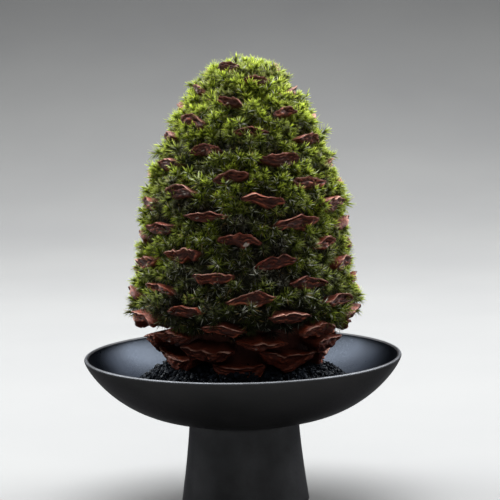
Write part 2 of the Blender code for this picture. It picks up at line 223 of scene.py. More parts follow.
# A scale's rings of points: body, rim as (depth, size), and face
AROUND = 48
BODY_RINGS = 3
ROOT_WIDTH = 0.55
NECK_WIDTH = 0.88
NECK_DEPTH = 0.16
RIM_RINGS = [(-1.6 * MM, 0.93), (-0.6 * MM, 0.985), (0.0, 1.0)]
FACE_RINGS = 12
FACE_FIRST_RING = 0.08
FACE_RING_POWER = 1.35
FACE_NARROWING = 0.08
FACE_SLIT = 0.10 * MM
FACE_MIDDLE = 0.62
FACE_WIDTH_JITTER = (0.88, 1.06)
LOW_WIDENING = 0.14
LOW_GROWTH = 0.35

# A scale's rims, with waves as (length, height, count)
UPPER_SHARE = (0.38, 0.68)
LOWER_SHARE = (0.62, 0.95)
UPPER_RIM_WAVES = ((1.0, 0.26, 5), (0.35, 0.16, 6), (0.16, 0.12, 6))
LOWER_RIM_WAVE = (0.5, 0.28, 6)
UPPER_RIM_LIMITS = (0.25, 1.9)
RIM_TILT = (-0.35, 0.35)
RIM_POWER = (0.50, 0.95)
LOW_RIM_BLUNTING = 0.35
LOW_RIM_SINKING = 0.4

# The relief of a scale's face
RELIEF_JITTER = (0.8, 1.15)
RELIEF_ROOM = 3 * MM
RELIEF_LEAST = 0.1 * MM
FACE_STAND = 1 * MM
FACE_STAND_TOP = 0.45
CREST_STAND = 1.5 * MM
CREST_DEPTH = 0.30 * MM
CREST_WIDTH = 0.36 * MM
LIP_STAND = 0.6 * MM
LIP_WIDTH = 0.5 * MM
FOLD = (5 * MM, 0.8 * MM, 8)
RIDGE_HEIGHT = 1.25 * MM
RIDGE_ROOM = 4 * MM
RIDGE_PITCH = 2 * MM
RIDGE_PITCH_JITTER = (0.75, 1.3)
RIDGE_SHARPNESS = 1.8
RIDGE_WOBBLE = ((8 * MM, 1.8, 7), (2.5 * MM, 0.63, 6))
UMBO_HEIGHT = 0.8 * MM
UMBO_RADIUS = 1 * MM
UMBO_RADIUS_JITTER = (0.6, 1.2)
UMBO_PLACE = (-0.35, 0.35)
UMBO_RISE = 0.20
UMBO_ASPECT = 0.75

# Fading along a face: its middle value, its wave as (size, swing, count) and its limits
LIP_MIDDLE = (-0.3, 0.8)
LIP_FADE = (5 * MM, 0.7, 6)
RIDGE_MIDDLE = 0.7
RIDGE_FADE = (6 * MM, 0.5, 6)
RIDGE_LIMITS = (0.15, 1.2)
UMBO_MIDDLE = 0.75
UMBO_FADE = (1.6 * MM, 0.5, 6)
UMBO_LIMITS = (0, 1.3)
CREST_MIDDLE = 0.75
CREST_FADE = (8 * MM, 0.45, 6)
CREST_LIMITS = (0.2, 1.1)

# How a whole scale leans, bows and warps, with its warps as (size, height, count)
FACE_LEAN = 0.32
LOW_LEAN_LOSS = 0.5
BOW_ABOVE = (-0.22, 0.16)
BOW_BELOW = (0.35, 0.55)
BOW_MIDDLE = 0.3
BOW_AT_ROOT = 0.4
SCALE_WARPS = ((9 * MM, 0.40 * MM, 8), (3 * MM, 0.20 * MM, 8))

# How much of each tone a scale shows: painted shade in the hollows, painted highlights on the ridges and
# crests, painted light on the low scales through more crest and less hollow, and a painted sky sheen on the
# upper scales
CREST_RUB_AND_HIGHLIGHT = (0.6, 1.0)
RIDGE_HIGHLIGHT = (0.5, 1.0)
UMBO_TONE = (-0.6, 1.2)
ROOT_TONES = (1.0, 0.3)
ROOT_RINGS = BODY_RINGS + 2
HOLLOW_SHADE = 1.1
HOLLOW_SHADE_OFF_CREST = 1.4
HOLLOW_SHADE_OFF_RIDGE = 1.8
LOW_CREST_LIGHT_GAIN = 0.4
LOW_HOLLOW_SHADE_LOSS = 0.6
SKY_SHEEN_HEIGHT = 130 * MM
SKY_SHEEN_REACH = 70 * MM

# Moss: its lower edge, with ragged waves as (height, count round the cone, start)
MOSS_LOW = 88 * MM
MOSS_EDGE_RADIUS = 51 * MM
EDGE_HEIGHT = 89 * MM
EDGE_SIDES = 2.5 * MM
EDGE_LEFT = 7 * MM
EDGE_WAVES = ((2.4 * MM, 5, 0.7), (1.8 * MM, 11, 2.1), (1.2 * MM, 23, 0.0))
EDGE_TUCK = 2 * MM
TUCK_HEIGHT = 98 * MM
TUCK_REACH = 8 * MM

# The matted bed that shoots stand on
BED_SEED = 4
BED_GRID = (56, 96)
BED_DEPTH = 8 * MM
BED_LUMPS = (5 * MM, 0.6 * MM)

# Shoots, tall and short, with a few leaders that stand above the rest
MOSS_SEED = 3
SITES = 3900
SITES_LOWEST = 82 * MM
MOSS_PIECES = ("moss_back_right", "moss_back_left", "moss_front_left", "moss_front_right")
TALL_SHARE = 0.45
TALL_DEPTH = (6.2 * MM, 7.6 * MM)
SHORT_DEPTH = (8 * MM, 9.4 * MM)
CLUMPS = (10 * MM, 1.5 * MM)
TEST_DEPTH = 3 * MM
TEST_REACH = 3 * MM
TEST_MARGIN = 0.1 * MM
TEST_POWERS = (1.6, 1.4)
SHOOT_UPWARD = np.array([0.0, 0.0, 0.28])
SHOOT_STRAY = 0.24
SHOOT_SIZE = (0.85, 1.15)
TALL_SIZE = 1.08
SHORT_SIZE = 0.86
LEADER_SHARE = 0.06
LEADER_SIZE = 1.3
LEADER_LIMIT = 221 * MM
SHOOT_STEM = 4 * MM
FIRST_LEAF = 0.35

# Leaves: needles of five points each, in lengths, widths and shares of them
LEAVES = 38
LEAF_LENGTH = (3.2 * MM, 4.9 * MM)
LEAF_WIDTH = (0.42 * MM, 0.70 * MM)
SPREAD_LOW = math.radians(88)
SPREAD_TOP = math.radians(12)
SPREAD_STRAY = 0.16
LEAF_TURN_STRAY = 0.25
TWIST_STRAY = 0.35
LEAF_MIDDLE = 0.42
LEAF_REACH = 0.93
LEAF_CURL = (0.0, 0.35)
LEAF_DROOP = 0.06
LEAF_KEEL = 0.32
LEAF_FACES = np.array([(4, 2, 1), (4, 1, 3), (4, 3, 2), (0, 1, 2), (0, 3, 1), (0, 2, 3)])
LEAF_ALONG = np.array([0.0, 0.45, 0.45, 0.35, 1.0])

# Moss tones: fresher up the cone, as new growth and as painted light on the lit top; older and more shaded
# low on its front, as painted shade; pale leaves as painted glints, most on the front
UPPER_FROM = 90 * MM
UPPER_REACH = 130 * MM
SHADED_HEIGHT = 115 * MM
SHADED_REACH = 18 * MM
SHADE_DOWN = 0.10
SHADE_FRONT = 0.14
SHADE_FRONT_LOW = 0.56
FRESH_DOWN = 0.64
FRESH_UP_AND_LIT = 0.38
FRESH_FRONT_SHADE = -0.85
FRESH_TALL = 0.15
FRESH_SHORT = -0.35
FRESH_PATCHES = ((26 * MM, 0.25), (11 * MM, 0.32))
FRESH_STRAY = 0.12
FIRST_ALONG = 0.55
ALONG_STRAY = 0.06
DRY_SHARE = 0.025
DRY_AMOUNT = (0.4, 0.9)
GLINT_SHARE = 0.03
GLINT_FRONT_SHARE = 0.13
GLINT_LOW_LOSS = 0.8
GLINT_AMOUNT = (0.4, 1.0)


def mesh_object(name, points, faces, look, values=None, smooth=True):
    """Make a piece from arrays of points and of faces, with values for each point by name."""
    mesh = bpy.data.meshes.new(name)
    mesh.vertices.add(len(points))
    mesh.vertices.foreach_set("co", np.asarray(points, np.float32).ravel())
    faces = np.asarray(faces, np.int32)
    sides = faces.shape[1]
    mesh.loops.add(faces.size)
    mesh.loops.foreach_set("vertex_index", faces.ravel())
    mesh.polygons.add(len(faces))
    mesh.polygons.foreach_set("loop_start", np.arange(0, faces.size, sides, dtype=np.int32))
    mesh.polygons.foreach_set("use_smooth", np.full(len(faces), smooth))
    for key, value in (values or {}).items():
        flat = value.ndim == 1
        layer = mesh.attributes.new(key, "FLOAT" if flat else "FLOAT_VECTOR", "POINT")
        layer.data.foreach_set("value" if flat else "vector", np.asarray(value, np.float32).ravel())
    mesh.update(calc_edges=True)
    mesh.validate()
    mesh.materials.append(look)
    item = bpy.data.objects.new(name, mesh)
    bpy.context.scene.collection.objects.link(item)
    return item


def hand_over(item, slot, *nodes):
    """Attach a piece to the body it rides on and hide the solids it stands for; the finish it is given is
    not used.
    """
    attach(item, BODY)
    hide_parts(*nodes)


def unit(vectors):
    return vectors / np.linalg.norm(vectors, axis=-1, keepdims=True)


def waved(rng, points, size, height, count=14):
    """Return smooth noise from plane waves of about this size, mostly within this height."""
    lengths = size * rng.uniform(*WAVE_LENGTHS, (count, 1))
    vectors = math.tau * unit(rng.normal(size=(count, 3))) / lengths
    phases = rng.uniform(0, math.tau, count)
    waves = np.sin(points @ vectors.T + phases).sum(axis=-1)
    return height * WAVE_HEIGHT * waves / math.sqrt(count / 2)


def faded(rng, points, middle, wave, limits):
    """Return smooth noise round a middle value, kept between two limits."""
    return np.clip(middle + waved(rng, points, *wave), *limits)


class Outline:
    """A turned outline read from its top on the axis down, with the area it sweeps as a ruler."""

    def __init__(self, corners, steps=12):
        self.heights, self.radii = np.array(smooth_curve(corners, steps)).T
        falls, grows = -np.diff(self.heights), np.diff(self.radii)
        bands = (self.radii[:-1] + self.radii[1:]) * np.hypot(falls, grows)
        self.shares = np.concatenate([[0.0], np.cumsum(bands) / bands.sum()])
        self.lifts = np.arctan2(grows, falls)

    def at(self, share):
        """Return height, radius and outward lift where this share of the area lies above."""
        share = np.clip(share, 0.0, 1.0)
        index = np.clip(np.searchsorted(self.shares, share), 1, len(self.lifts))
        height = np.interp(share, self.shares, self.heights)
        return height, np.interp(share, self.shares, self.radii), self.lifts[index - 1]

    def share_above(self, height):
        return np.interp(-height, -self.heights, self.shares)


def smooth_curve(corners, steps):
    """Return points on a Catmull-Rom curve through (height, radius) corners."""
    ends = [corners[0]] + list(corners) + [corners[-1]]
    points = [corners[0]]
    for a, b, c, d in zip(ends, ends[1:], ends[2:], ends[3:]):
        for step in range(1, steps + 1):
            t = step / steps
            points.append(tuple(
                0.5 * (2 * q + (r - p) * t + (2 * p - 5 * q + 4 * r - s) * t * t
                       + (3 * q - p - 3 * r + s) * t ** 3)
                for p, q, r, s in zip(a, b, c, d)))
    return [(height, max(radius, 0.0)) for height, radius in points]


def axis_points(heights):
    """Return points on the cone's slightly leaning axis."""
    heights = np.asarray(heights, float)
    lean = CONE_OFFSET + CONE_LEAN * (heights - CONE_OFFSET_HEIGHT)
    return np.stack([lean, np.zeros_like(heights), heights], axis=-1)


def directions(angles, lifts):
    """Return unit vectors at angles round the axis and lifts above the horizontal."""
    lifts = np.broadcast_to(lifts, np.shape(angles))
    flat = np.cos(lifts)
    return np.stack([np.cos(angles) * flat, np.sin(angles) * flat, np.sin(lifts)], axis=-1)


class Look:
    """A material being made: one Principled shader and the nodes that feed it."""

    def __init__(self, name):
        self.material = bpy.data.materials.new(name)
        self.material.use_nodes = True
        self.tree = self.material.node_tree
        self.shader = self.tree.nodes["Principled BSDF"]

    def node(self, kind, values=None, **settings):
        made = self.tree.nodes.new("ShaderNode" + kind)
        for key, value in settings.items():
            setattr(made, key, value)
        for key, value in (values or {}).items():
            self.feed(made.inputs[key], value)
        return made

    def feed(self, socket, value):
        if isinstance(value, bpy.types.NodeSocket):
            self.tree.links.new(value, socket)
        elif socket.type == "RGBA":
            socket.default_value = (*value, 1.0)
        else:
            socket.default_value = value

    def set(self, **values):
        """Feed the shader's own sockets, named with underscores for spaces."""
        for key, value in values.items():
            self.feed(self.shader.inputs[key.replace("_", " ")], value)

    def place(self):
        return self.node("TexCoord").outputs["Object"]

    def read(self, name, vector=False):
        return self.node("Attribute", attribute_name=name).outputs["Vector" if vector else "Fac"]

    def noise(self, size, vector, detail=3.0, roughness=0.55):
        """Noise whose largest features are about this many metres across."""
        values = {"Scale": 1 / size, "Detail": detail, "Roughness": roughness, "Vector": vector}
        return self.node("TexNoise", values).outputs["Fac"]

    def spread(self, value, low, high, to_low=0.0, to_high=1.0):
        """Map a value from one range to another, clamped."""
        values = {"Value": value, "From Min": low, "From Max": high, "To Min": to_low, "To Max": to_high}
        return self.node("MapRange", values).outputs["Result"]

    def sum(self, first, second):
        return self.node("Math", {0: first, 1: second}, operation="ADD").outputs[0]

    def product(self, first, second):
        return self.node("Math", {0: first, 1: second}, operation="MULTIPLY").outputs[0]

    def mix(self, share, first, second, blend_type="MIX"):
        """Blend colours, a Mix node's inputs 6 and 7, into its output 2."""
        made = self.node("Mix", {0: share, 6: first, 7: second}, data_type="RGBA", blend_type=blend_type)
        return made.outputs[2]

    def ramp(self, share, stops):
        """Map a share from 0 to 1 to a colour between (position, colour) stops."""
        made = self.node("ValToRGB", {"Fac": share})
        elements = made.color_ramp.elements
        for element, (position, color) in zip(elements, (stops[0], stops[-1])):
            element.position = position
            element.color = (*color, 1.0)
        for position, color in stops[1:-1]:
            elements.new(position).color = (*color, 1.0)
        return made.outputs["Color"]

    def bump(self, height, distance, strength=1.0, normal=None):
        values = {"Height": height, "Distance": distance, "Strength": strength}
        if normal:
            values["Normal"] = normal
        return self.node("Bump", values).outputs["Normal"]


def metal_look():
    """Blackened metal: neutral outside, a painted blue-grey sky reflection inside the bowl, and rubbed
    lighter along the lip with a painted highlight there.
    """
    look = Look("blackened_metal")
    place = look.place()
    cloud = look.noise(METAL_CLOUD_SIZE, place)
    fine = look.noise(METAL_FINE_SIZE, place, detail=5)
    # Lighter metal on the lip and the foot: rubbing, with a painted highlight along the lip
    edge = look.spread(look.noise(METAL_WEAR_AND_HIGHLIGHT_SIZE, place), 0.3, 0.7, 0.35, 0.75)
    edge = look.product(look.read("wear_and_highlight"), edge)
    outside = look.mix(look.spread(cloud, 0.3, 0.7), *METAL_OUTER)
    # Painted sky reflection: a blue-grey tint inside the bowl
    inside = look.mix(look.spread(cloud, 0.3, 0.7), *METAL_INNER_SKY_REFLECTION)
    color = look.mix(look.read("inner"), outside, inside)
    color = look.mix(edge, color, METAL_WORN_AND_HIGHLIGHT)
    rough = look.sum(look.spread(cloud, 0.3, 0.7, 0.47, 0.54), look.spread(fine, 0.3, 0.7, -0.03, 0.05))
    rough = look.sum(rough, look.product(look.read("inner"), -0.20))
    look.set(Base_Color=color, Metallic=1.0, Roughness=rough, Specular_Tint=METAL_EDGE_TINT)
    look.set(Normal=look.bump(fine, METAL_FINE_DEPTH, 0.5))
    return look.material


def wood_look():
    """Red-brown cone wood, with painted shade in the hollows of each face, pale rubbed crests with a painted
    highlight, painted highlights on the ridges, a painted sky sheen on the upper scales and a grey knob.
    """
    look = Look("cone_wood")
    grain = look.node("Mapping", {"Vector": look.read("grain", True), "Scale": WOOD_STRETCH})
    grain = grain.outputs["Vector"]
    streak = look.noise(WOOD_STREAK_SIZE, grain, detail=6, roughness=0.65)
    blotch = look.noise(WOOD_BLOTCH_SIZE, look.read("grain", True), detail=3)
    color = look.mix(look.spread(streak, 0.32, 0.68), *WOOD_GRAIN)
    color = look.mix(1.0, color, look.mix(look.read("tone"), *WOOD_WARMTH), "MULTIPLY")
    color = look.mix(look.spread(blotch, 0.45, 0.72, 0.0, 0.50), color, WOOD_BLOTCH)
    # Over the wood: a painted sky sheen, painted shade in the hollows and painted highlights on the ridges
    # and crests
    for value, broken, shown, layer_color in WOOD_LAYERS:
        layer = look.product(look.read(value), look.spread(streak, *broken))
        color = look.mix(look.spread(layer, *shown), color, layer_color)
    color = look.mix(look.read("root"), color, WOOD_ROOT)
    look.set(Base_Color=color, Roughness=look.spread(streak, 0.3, 0.7, 0.62, 0.42), Specular_IOR_Level=0.22)
    fine = look.noise(WOOD_FINE_SIZE, grain, detail=4)
    streaks = look.bump(streak, WOOD_STREAK_DEPTH, 0.9)
    look.set(Normal=look.bump(fine, WOOD_FINE_DEPTH, 0.7, streaks))
    return look.material


def moss_look():
    """Needle leaves: painted shade dark at the foot, pale at the tip, yellow-green when fresh and olive when
    old, with a few painted glints.
    """
    look = Look("moss")
    along = look.read("along")
    old = look.ramp(along, MOSS_OLD)
    color = look.mix(look.read("fresh"), old, look.ramp(along, MOSS_FRESH))
    color = look.mix(look.read("dry"), color, LEAF_DRY)
    # Painted glints: pale grey-green leaves
    color = look.mix(look.read("pale"), color, LEAF_GLINT)
    look.set(Base_Color=color, Roughness=0.45, Specular_IOR_Level=0.10)
    thin = look.node("BsdfTranslucent", {"Color": color})
    both = look.node("MixShader", {0: 0.35, 1: look.shader.outputs[0], 2: thin.outputs[0]})
    look.tree.links.new(both.outputs[0], look.tree.nodes["Material Output"].inputs["Surface"])
    return look.material


def bed_look():
    """The matted fibre under the shoots, painted dark as shade in the gaps between them."""
    look = Look("moss_bed")
    fibre = look.noise(BED_FIBRE_SIZE, look.place(), detail=6, roughness=0.7)
    color = look.mix(look.spread(fibre, 0.35, 0.7), *BED_TONES_AND_SHADE)
    look.set(Base_Color=color, Roughness=0.9, Normal=look.bump(fibre, BED_FIBRE_SIZE))
    return look.material


def grit_look():
    """Black stone with a bluish shine, each grain of its own tone."""
    look = Look("black_grit")
    dust = look.noise(GRIT_DUST_SIZE, look.place(), detail=4)
    tone = look.read("tone")
    color = look.mix(tone, *GRIT_TONES)
    color = look.mix(look.spread(dust, 0.5, 0.8, 0.0, 0.5), color, GRIT_DUST)
    look.set(Base_Color=color, Roughness=look.spread(tone, 0.0, 1.0, 0.40, 0.65))
    look.set(Specular_IOR_Level=0.06, Specular_Tint=GRIT_SHINE)
    look.set(Normal=look.bump(dust, GRIT_DUST_DEPTH, 0.7))
    return look.material


def floor_look():
    look = Look("floor")
    cloud = look.noise(FLOOR_CLOUD_SIZE, look.place())
    look.set(Base_Color=look.mix(look.spread(cloud, 0.3, 0.7), *FLOOR_TONES), Roughness=0.8)
    return look.material


def turned(name, profile, steps, look, values=None):
    """Turn (radius, height) points round the Z axis into a closed skin.

    A profile that ends where it starts makes a ring, and one from axis to axis a solid of revolution.
    The values are lists by name, with a value for each point of the profile.
    """
    ring = profile[0] == profile[-1]
    rows = profile[:-1] if ring else profile
    angles = np.arange(steps) * math.tau / steps
    points, index, source = [], [], []
    for row, (radius, height) in enumerate(rows):
        many = 1 if radius == 0 else steps
        index.append(np.full(steps, len(points)) if many == 1 else len(points) + np.arange(steps))
        points += [(radius * math.cos(a), radius * math.sin(a), height) for a in angles[:many]]
        source += [row] * many
    faces = []
    for first, second in zip(index, index[1:] + index[:1] * ring):
        a, b = first, np.roll(first, -1)
        c, d = np.roll(second, -1), second
        faces += [(p, q, r) for p, q, r in zip(a, b, c) if p != q]
        faces += [(p, q, r) for p, q, r in zip(a, c, d) if q != r]
    values = {key: np.array(value)[source] for key, value in (values or {}).items()}
    return mesh_object(name, points, faces, look, values)


def bowl_underside(turn):
    """Return (radius, height) on the bowl's outside, from turn 0 at its lip to 1 at the foot."""
    angle = turn * math.pi / 2
    reach = max(math.cos(angle), 0.0) ** BOWL_REACH_POWER
    radius = FOOT_TOP_RADIUS + (BOWL_RADIUS - FOOT_TOP_RADIUS) * reach
    rise = 1 - math.sin(angle) ** BOWL_CURVE_POWER
    height = FOOT_TOP_HEIGHT + (BOWL_LIP_HEIGHT - BOWL_WALL / 2 - FOOT_TOP_HEIGHT) * rise
    return radius, height


def bowl_outside(steps):
    curve = [bowl_underside(step / steps) for step in range(steps + 1)]
    return curve + [(0.0, FOOT_TOP_HEIGHT - BOWL_FLOOR_DROP)]


def offset_inward(profile, distance):
    """Return a profile moved square to itself, up and towards the axis."""
    moved = []
    for index, (radius, height) in enumerate(profile):
        before = profile[max(index - 1, 0)]
        after = profile[min(index + 1, len(profile) - 1)]
        along = Vector((after[0] - before[0], after[1] - before[1])).normalized()
        moved.append((max(radius + along.y * distance, 0.0), height - along.x * distance))
    moved[-1] = (0.0, profile[-1][1] + distance)
    return moved


def make_bowl(look):
    """Turn the bowl's shell with a round lip."""
    outside = bowl_outside(BOWL_CURVE_STEPS)
    inside = offset_inward(outside, BOWL_WALL)
    half = BOWL_WALL / 2
    lip = [(BOWL_RADIUS - half - half * math.cos(a), BOWL_LIP_HEIGHT - half + half * math.sin(a))
           for a in np.linspace(0, math.pi, len(LIP_WEAR_AND_HIGHLIGHT) + 1)[1:-1]]
    profile = inside[::-1] + lip + outside
    wear_and_highlight = [0.0] * len(inside) + LIP_WEAR_AND_HIGHLIGHT + [0.0] * (len(outside) - 1)
    inner = [1.0] * len(inside) + [0.0] * (len(profile) - len(inside))
    bowl = turned("bowl_shell", profile, BOWL_TURN_STEPS, look, {"wear_and_highlight": wear_and_highlight, "inner": inner})
    hand_over(bowl, "blackened_metal", "bowl")


def make_foot(look):
    """Turn the flared hollow foot, with its edges just broken."""
    top = FOOT_TOP_HEIGHT - CLEARANCE
    outside = [(FOOT_TOP_RADIUS - FOOT_ROUNDING, top)]
    for fall in np.linspace(*FOOT_FLARE_FALLS, FOOT_FLARE_STEPS):
        radius = FOOT_TOP_RADIUS + (FOOT_BASE_RADIUS - FOOT_TOP_RADIUS) * fall ** FOOT_FLARE_POWER
        outside.append((radius, top * (1 - fall)))
    outside.append((FOOT_BASE_RADIUS - FOOT_ROUNDING, 0.0))
    rim_inside = FOOT_BASE_RADIUS - FOOT_RIM_WIDTH
    inside = [(rim_inside, 0.0), (rim_inside, FOOT_RIM_HEIGHT)]
    chosen = outside[-FOOT_STRIDE - 1:FOOT_STRIDE - 1:-FOOT_STRIDE]
    inside += [(radius - FOOT_WALL, height) for radius, height in chosen]
    inside.append((FOOT_TOP_RADIUS - FOOT_WALL, top - CLEARANCE))
    profile = outside + inside + outside[:1]
    wear_and_highlight = [FOOT_WEAR] * (len(outside) - 1) + [FOOT_BASE_WEAR] + [0.0] * len(inside)
    foot = turned("foot_shell", profile, FOOT_TURN_STEPS, look, {"wear_and_highlight": wear_and_highlight})
    hand_over(foot, "blackened_metal", "foot")


def scale_half_width(height):
    """Return half of a scale's width: broad at the middle of the cone, small at its tip."""
    down = min((CONE_OUTLINE[0][0] - height) / WIDENING_HEIGHT, 1.0)
    return TOP_HALF_WIDTH + (FULL_HALF_WIDTH - TOP_HALF_WIDTH) * down ** WIDENING_POWER


def scale_sites(outline):
    """Return each scale's place as a matrix, its half width and thickness, and how low it is, 0 to 1."""
    rng = random.Random(SCALE_SEED)
    sites = []
    for count in range(SCALE_FIRST, SCALE_COUNT + 1):
        share = min(max(count / SCALE_COUNT + SCALE_FIRST_SHARE, 0.0), 1.0)
        bend = share * (1 - share)
        share += SPACING_SHIFT * bend + SPACING_SKEW * bend * (1 - 2 * share)
        height, radius, lift = (float(value) for value in outline.at(share))
        if height < SCALE_LOWEST:
            break
        angle = SCALE_FIRST_ANGLE + GOLDEN_ANGLE * count
        angle += SPIRAL_TWIST * (height - SPIRAL_TWIST_HEIGHT)
        lift *= SCALE_LIFT_ABOVE if lift > 0 else SCALE_LIFT_BELOW
        lift += rng.uniform(*SCALE_LIFT_JITTER)
        middle = Vector(axis_points(height) + directions(angle, 0.0) * radius)
        half_width = scale_half_width(height) * rng.uniform(*SCALE_WIDTH_JITTER)
        low = min(max((LOW_SCALES_HEIGHT - height) / LOW_SCALES_DEPTH, 0.0), 1.0)
        half_thickness = half_width * SCALE_THICKNESS * (1 + LOW_SCALES_THICKENING * low)
        half_width *= 1 + LOW_SCALES_WIDENING * low
        outward = Vector(directions(angle, lift))
        across = Vector((0, 0, 1)).cross(outward).normalized()
        turn = Matrix((across, outward.cross(across), outward)).transposed().to_4x4()
        roll = Matrix.Rotation(rng.uniform(*SCALE_ROLL_JITTER), 4, "Z")
        place = Matrix.Translation(middle + outward * SCALE_PROUD) @ turn @ roll
        sites.append((np.array(place), half_width, half_thickness, low))
    return sites


def ring_faces(rings, around):
    """Return triangles that join rings of points, each as long as the others."""
    first = np.arange(rings - 1)[:, None] * around + np.arange(around)
    after = first - np.arange(around) + (np.arange(around) + 1) % around
    lower = np.stack([first, after, after + around], axis=-1).reshape(-1, 3)
    upper = np.stack([first, after + around, first + around], axis=-1).reshape(-1, 3)
    return np.concatenate([lower, upper])


def lens_cap(start, around, flip):
    """Return triangles across one ring, from end to end, that close it as a narrow lens."""
    half = around // 2
    faces = [(0, 1, around - 1), (half, half + 1, half - 1)]
    for step in range(1, half - 1):
        low, low_next = around - step, around - step - 1
        faces += [(step, step + 1, low_next), (step, low_next, low)]
    faces = np.array(faces) + start
    return faces[:, ::-1] if flip else faces


def scale_rims(rng, side, half_thickness, low):
    """Return the heights of a scale's wavy upper and lower rims, at places from side -1 to side 1."""
    line = np.stack([side, 0 * side, 0 * side], axis=-1)
    ends = np.clip(1 - side ** 2, 0, 1)
    waves = sum(waved(rng, line, *wave) for wave in UPPER_RIM_WAVES) + rng.uniform(*RIM_TILT) * side
    power = rng.uniform(*RIM_POWER) * (1 - LOW_RIM_BLUNTING * low)
    top = np.clip(1 + waves, *UPPER_RIM_LIMITS) * ends ** power * (1 - LOW_RIM_SINKING * low)
    bottom = (1 + waved(rng, line, *LOWER_RIM_WAVE)) * ends ** rng.uniform(*RIM_POWER)
    thickness = half_thickness * (1 + LOW_GROWTH * low)
    return thickness * rng.uniform(*UPPER_SHARE) * top, -thickness * rng.uniform(*LOWER_SHARE) * bottom


def scale_rings(x, y, middle, sine):
    """Return the rings of a scale's points, from its root along its body and then across its face."""
    depths = np.linspace(-1, -NECK_DEPTH, BODY_RINGS) * SCALE_LENGTH
    body = list(zip(depths, np.linspace(ROOT_WIDTH, NECK_WIDTH, BODY_RINGS)))
    rings = [(x * size, y * size, np.full_like(x, depth)) for depth, size in body + RIM_RINGS]
    for share in np.linspace(FACE_FIRST_RING, 1.0, FACE_RINGS) ** FACE_RING_POWER:
        ring_y = y * (1 - share) + (middle + FACE_SLIT * sine) * share
        rings.append((x * (1 - FACE_NARROWING * share), ring_y, np.zeros_like(x)))
    return np.array(rings).transpose(0, 2, 1)


def face_ridges(rng, face, depth, share, total):
    """Return sharp, wavy ridges from end to end of a scale's face, from 0 to about 1."""
    wobble = sum(waved(rng, face, *wave) for wave in RIDGE_WOBBLE)
    pitch = RIDGE_PITCH * rng.uniform(*RIDGE_PITCH_JITTER)
    ridge = (1 - np.abs(np.sin(math.pi * depth / pitch + wobble))) ** RIDGE_SHARPNESS
    within = np.sqrt(np.clip(1 - (2 * share - 1) ** 2, 0, 1)) * np.clip(total / RIDGE_ROOM, 0, 1)
    return ridge * within * faded(rng, face, RIDGE_MIDDLE, RIDGE_FADE, RIDGE_LIMITS)


def face_relief(rng, face, depth, total):
    """Return how far a scale's face stands out, with its crest and its ridges from 0 to 1.

    A thin crest runs just under the upper rim and a fainter lip along the lower one. The face between
    them is hollow, with sharp ridges from end to end.
    """
    share = np.clip(depth / np.maximum(total, RELIEF_LEAST), 0, 1)
    pinch = np.clip(total / RELIEF_ROOM, 0, 1)
    crest = np.exp(-((depth - CREST_DEPTH) / CREST_WIDTH) ** 2) * pinch
    lip = np.exp(-((total - depth - LIP_WIDTH) / LIP_WIDTH) ** 2) * pinch
    lip = lip * faded(rng, face, rng.uniform(*LIP_MIDDLE), LIP_FADE, (0, 1))
    ridge = face_ridges(rng, face, depth, share, total)
    hull = (FACE_STAND_TOP + (1 - FACE_STAND_TOP) * share ** 2) * (1 - share ** 6) * pinch
    fold = waved(rng, face, *FOLD) * np.clip(4 * share * (1 - share), 0, 1) * pinch
    stand = FACE_STAND * hull + CREST_STAND * crest + LIP_STAND * lip + RIDGE_HEIGHT * ridge + fold
    return stand, crest, np.maximum(ridge, lip)


def face_knob(rng, face, width, bottom, height):
    """Return the small knob low on a scale's face, from 0 to 1."""
    knob_x = rng.uniform(*UMBO_PLACE) * width
    lowest = bottom[AROUND // 2:]
    side = -np.cos(np.linspace(0, math.pi, len(lowest)))
    knob_y = np.interp(knob_x, side * width, lowest) + UMBO_RISE * height
    far = np.hypot((face[..., 0] - knob_x) * UMBO_ASPECT, face[..., 1] - knob_y)
    knob = np.exp(-(far / (UMBO_RADIUS * rng.uniform(*UMBO_RADIUS_JITTER))) ** 2)
    return knob * faded(rng, face, UMBO_MIDDLE, UMBO_FADE, UMBO_LIMITS)


def set_scale(rng, points, width, low):
    """Lean a scale's face forward, bow the whole scale up or down and warp it a little."""
    front = points[BODY_RINGS - 1:]
    front[..., 2] += FACE_LEAN * (1 - LOW_LEAN_LOSS * low) * front[..., 1]
    bow = (rng.uniform(*BOW_ABOVE) * (1 - low) + rng.uniform(*BOW_BELOW) * low) * width
    grown = np.linspace(BOW_AT_ROOT, 1, len(points))[:, None]
    points[..., 1] += bow * ((points[..., 0] / width) ** 2 - BOW_MIDDLE) * grown
    for warp in SCALE_WARPS:
        for axis in range(3):
            front[..., axis] += waved(rng, front, *warp)


def scale_tones(rng, points, crest, ridge, knob, low):
    """Return by name how much of each tone the points of a scale show."""
    # The crest is rubbed pale, with a painted highlight, faded along its length
    crest_rub_and_highlight = faded(rng, points[-FACE_RINGS:], CREST_MIDDLE, CREST_FADE, CREST_LIMITS)
    # Painted shade in the hollows of the face, kept off the crest and the ridges
    hollow = np.clip(HOLLOW_SHADE - HOLLOW_SHADE_OFF_CREST * crest - HOLLOW_SHADE_OFF_RIDGE * ridge, 0, 1)
    # Low scales get more crest and less hollow, as painted light
    on_face = {
        "crest": crest * crest_rub_and_highlight * rng.uniform(*CREST_RUB_AND_HIGHLIGHT) * (1 + LOW_CREST_LIGHT_GAIN * low),
        # Painted highlight on the ridges
        "ridge": ridge * rng.uniform(*RIDGE_HIGHLIGHT),
        "hollow": hollow * (1 - LOW_HOLLOW_SHADE_LOSS * low),
        "umbo": knob * np.clip(rng.uniform(*UMBO_TONE), 0, 1),
    }
    tones = {key: np.zeros(points.shape[:2]) for key in (*on_face, "root")}
    for key, value in on_face.items():
        tones[key][-FACE_RINGS:] = value
    tones["root"][:ROOT_RINGS] = np.linspace(*ROOT_TONES, ROOT_RINGS)[:, None]
    return tones


